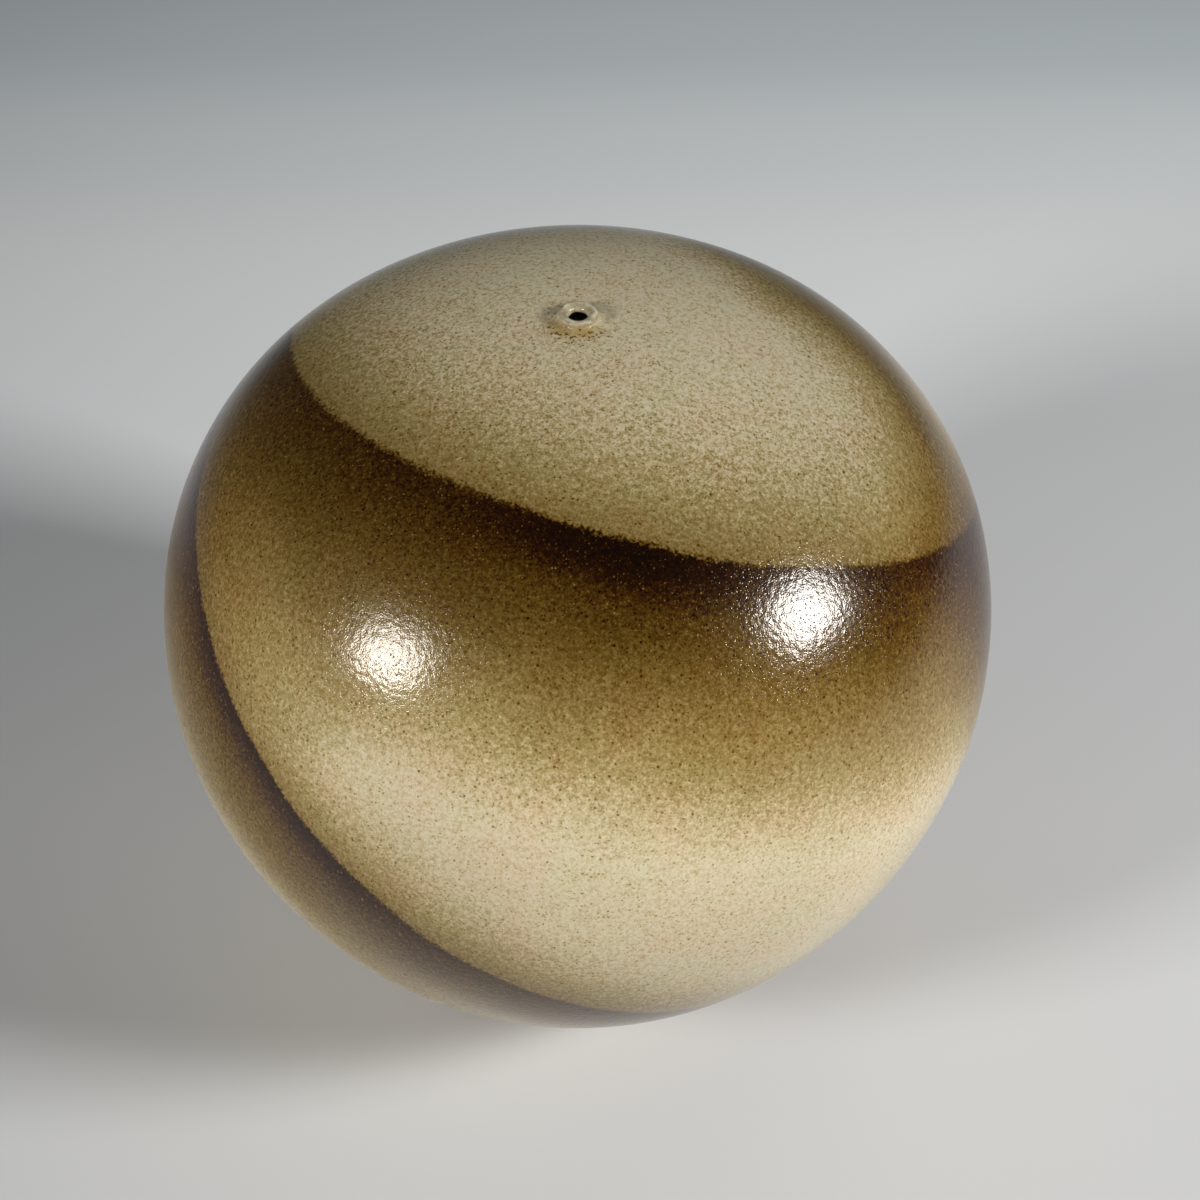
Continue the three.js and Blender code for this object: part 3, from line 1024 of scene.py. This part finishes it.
# %% Turn the glaze
skin = turn_piece("glaze_skin", skin_outline, sprayed_glaze, steps_round=240, line_drift=1.6)

# %% [markdown]
# ## The clay under the glaze
#
# Only the foot and a narrow band above it show from outside, but the wheel left its marks
# everywhere: throwing rings inside, and fine tool rings on the foot and under the base. A bump in
# the finish could draw them, but an exported mesh loses a bump, so they are in the outlines.

# %% Rings that a wheel leaves
ring_points = 7  # on each ring
slow_ring = 2.7  # the pitch of a slower ring that is mixed in, so that no two rings are alike


def ringed(outline, pitch, height):
    """An outline with rings along it, dying out at both of its ends."""
    outline = stepped(outline, pitch / ring_points)
    along = length_along(outline)
    lean = np.gradient(outline, along, axis=0)
    side = np.column_stack([-lean[:, 1], lean[:, 0]])
    ends = np.minimum(along, along[-1] - along) / (2 * pitch)
    wave = np.sin(2 * pi * along / pitch) + 0.5 * np.sin(2 * pi * along / (slow_ring * pitch))
    return outline + side * (height * wave * ends.clip(0, 1))[:, None]


# %% Outlines of the clay pieces
clay_spacing = 3
base_lift = 0.25  # raises the base's rings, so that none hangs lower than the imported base


def hollow():
    """The inside of the lower bowl, from its rim down to the middle of its floor."""
    depth = girth - foot_height - floor_thickness
    return super_ellipse(clay_reach - wall, depth, 2, pi / 2) * [1, -1] + [0, girth]


def lower_bowl_outline():
    base_rim, base_height = foot_radius - foot_width - 2, foot_height + base_lift
    base = ringed([(0, base_height), (base_rim, base_height)], pitch=2.6, height=0.1)
    edge = [(base_rim + 1, foot_height), (foot_radius, foot_height)]
    outside = stepped(bowl(coat, foot_height)[::-1], clay_spacing)
    inside = ringed(hollow(), pitch=11, height=0.35)
    inside[-1][0] = 0
    return joined(base, edge, outside, inside)


def upper_bowl_outline():
    outside = stepped(dome(coat, seat_radius + glaze_gap), clay_spacing)
    step = [(seat_radius + glaze_gap, mouth_seat), (clay_throat, mouth_seat)]
    inside = ringed(dome(coat + wall, clay_throat)[::-1], pitch=12, height=0.35)
    return joined(outside, step, inside, outside[:1])


def mouth_ring_outline():
    floor = [(clay_throat, mouth_seat), (seat_radius, mouth_seat)]
    return joined(floor, mouth(0), floor[:1])


def seam_coil_outline():
    half = coil_height / 2
    back = clay_reach - wall - glaze_gap
    above, below = dome(coat + wall, clay_throat), hollow()
    top = np.interp(girth + half, above[:, 1], above[:, 0]) - glaze_gap
    bottom = np.interp(half - girth, -below[:, 1], below[:, 0]) - glaze_gap
    front = arc((back, girth), (coil_depth, half), 90, 270, 15)[1:-1]
    behind = [(bottom, girth - half), (back, girth), (top, girth + half)]
    return joined(behind, front, behind[:1])


def foot_ring_outline():
    outer, inner = foot_radius - foot_taper, foot_radius - foot_width + foot_taper
    middle, ease = (outer + inner) / 2, 1.3
    tool_rings = {"pitch": 0.9, "height": 0.02}
    on_outer_side, on_inner_side = (foot_radius - 0.7, foot_height - 2.5), (inner - 0.4, 1.8)
    bottom_out = eased([(middle, 0), (outer, 0), on_outer_side], ease)
    side_out = ringed([on_outer_side, (foot_radius, foot_height)], **tool_rings)
    top = [(foot_radius, foot_height), (foot_radius - foot_width, foot_height)]
    side_in = ringed([top[-1], on_inner_side], **tool_rings)
    bottom_in = eased([side_in[-1], (inner, 0), (middle, 0)], ease)
    return joined(bottom_out, side_out, top, side_in, bottom_in)


# %% Turn the clay pieces
lower_bowl = turn_piece("lower_bowl_clay", lower_bowl_outline(), bare_clay)
upper_bowl = turn_piece("upper_bowl_clay", upper_bowl_outline(), bare_clay)
mouth_ring = turn_piece("mouth_ring_clay", mouth_ring_outline(), mouth_glaze, steps_round=96)
seam_coil = turn_piece("seam_coil_clay", seam_coil_outline(), bare_clay)
foot_ring = turn_piece("foot_ring_clay", foot_ring_outline(), bare_clay)

# %% [markdown]
# ## Floor, light and camera
#
# The bottle stands on a pale studio floor. A ramp along the floor's depth paints light and shade on
# it: a little darker near the front, lightest in the middle distance, and darker and cooler far
# off, where the soft boxes' light falls away and the room's bluish light is left. Two soft boxes
# light the bottle, one on each side and both low, so the crown is dimmer than the shoulders. Each
# is aimed well over the bottle, so that only the edge of its beam falls on the floor near it.

# %% The floor
floor_mesh = bpy.data.meshes.new("floor")
reach = 4.0  # metres each way
corners = [(-reach, -reach, 0), (reach, -reach, 0), (reach, reach, 0), (-reach, reach, 0)]
floor_mesh.from_pydata(corners, [], [(0, 1, 2, 3)])
floor = bpy.data.objects.new("floor", floor_mesh)
bpy.context.scene.collection.objects.link(floor)
paper, tree, place = new_finish("matt_white_studio_paper")
ramp_start, ramp_end = -150, 850
floor_place = add(tree, "ShaderNodeSeparateXYZ", {"Vector": place}).outputs
along_paper = add(tree, "ShaderNodeMapRange", {
    "Value": floor_place["Y"], "From Min": ramp_start, "From Max": ramp_end,
})
# The ramp paints light and shade on the pale paper: darker near the front, lightest in the middle
# distance, darker and cooler far off.
paper_and_painted_falloff = add(tree, "ShaderNodeValToRGB", {"Fac": along_paper})
paper_and_painted_falloff.color_ramp.interpolation = "EASE"
fill_ramp(paper_and_painted_falloff, [
    (0.05, "#CDCDCC"),
    (0.21, "#DADADA"),
    (0.42, "#DDDDDD"),
    (0.58, "#E2E3E2"),
    (0.69, "#DBDFDF"),
    (0.80, "#CDD4D6"),
    (1.00, "#B9C0C4"),
])
matt = add(tree, "ShaderNodeBsdfPrincipled", {
    "Base Color": paper_and_painted_falloff, "Roughness": 0.7, "IOR": 1.4,
})
add(tree, "ShaderNodeOutputMaterial", {"Surface": matt})
floor_mesh.materials.append(paper)

# %% Two soft boxes
middle_of_bottle = Vector((0, 0, girth * MM))
light_distance = 2.0


def soft_box(name, azimuth, elevation, size, power, beam, aim_height):
    """A square soft box, in metres and watts, at an azimuth from the front to the right.

    The angles are in degrees, and it is aimed at the bottle's axis at the aim height.
    """
    light = bpy.data.lights.new(name, "AREA")
    light.size = size
    light.energy = power
    light.spread = radians(beam)
    lamp = bpy.data.objects.new(name, light)
    turn, lift = radians(azimuth), radians(elevation)
    towards = Vector((sin(turn) * cos(lift), -cos(turn) * cos(lift), sin(lift)))
    lamp.location = middle_of_bottle + towards * light_distance
    face = lamp.location - Vector((0, 0, aim_height))
    lamp.rotation_euler = face.to_track_quat("Z", "Y").to_euler()
    bpy.context.scene.collection.objects.link(lamp)
    print(f"{name}: {size} m wide, {power} W, {elevation} degrees up")


soft_box(
    "left_soft_box", azimuth=-54.5, elevation=27, size=0.54, power=4.3, beam=55, aim_height=0.50
)
soft_box(
    "right_soft_box", azimuth=71, elevation=28.5, size=0.48, power=14.8, beam=100, aim_height=0.45
)

# %% The room's dim light
world = bpy.data.worlds.new("studio")
world.use_nodes = True
room = world.node_tree.nodes["Background"]
room.inputs["Color"].default_value = linear("#B8C4D0")
room.inputs["Strength"].default_value = 0.08
bpy.context.scene.world = world
bpy.context.scene.view_settings.view_transform = "Standard"

# %% [markdown]
# The camera looks at the middle of the bottle from the photograph's height and distance. It is
# turned by less than a degree, and not shifted, so that the bottle stands in the picture where
# the real one does.

# %% The camera
view_distance = 0.8365
view_elevation = radians(42.25)
view_yaw, view_pitch = radians(-0.513), radians(0.306)

camera = bpy.data.objects.new("camera", bpy.data.cameras.new("camera"))
camera.data.sensor_width = 36
camera.data.lens = 73.17
aim = Matrix.Rotation(pi / 2 - view_elevation, 4, "X")
aim = aim @ Matrix.Rotation(view_yaw, 4, "Y") @ Matrix.Rotation(view_pitch, 4, "X")
away = Vector((0, -cos(view_elevation), sin(view_elevation)))
camera.matrix_world = Matrix.Translation(middle_of_bottle + away * view_distance) @ aim
bpy.context.scene.collection.objects.link(camera)
bpy.context.scene.camera = camera
print(f"The camera is {view_distance} m from the middle of the bottle")

# %% [markdown]
# ## What each piece stands for
#
# Each turned piece takes the place of the imported solid that it details, which is hidden, and
# rides on the bottle's one body.

# %% Hide each imported solid, and put its piece on the body
for piece, node, slot in (
    (skin, "glaze_coat", "sprayed_glaze"),
    (lower_bowl, "lower_bowl", "bare_clay"),
    (upper_bowl, "upper_bowl", "bare_clay"),
    (mouth_ring, "mouth_ring", "mouth_glaze"),
    (seam_coil, "seam_coil", "bare_clay"),
    (foot_ring, "foot_ring", "bare_clay"),
):
    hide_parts(node)
    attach(piece, "root")
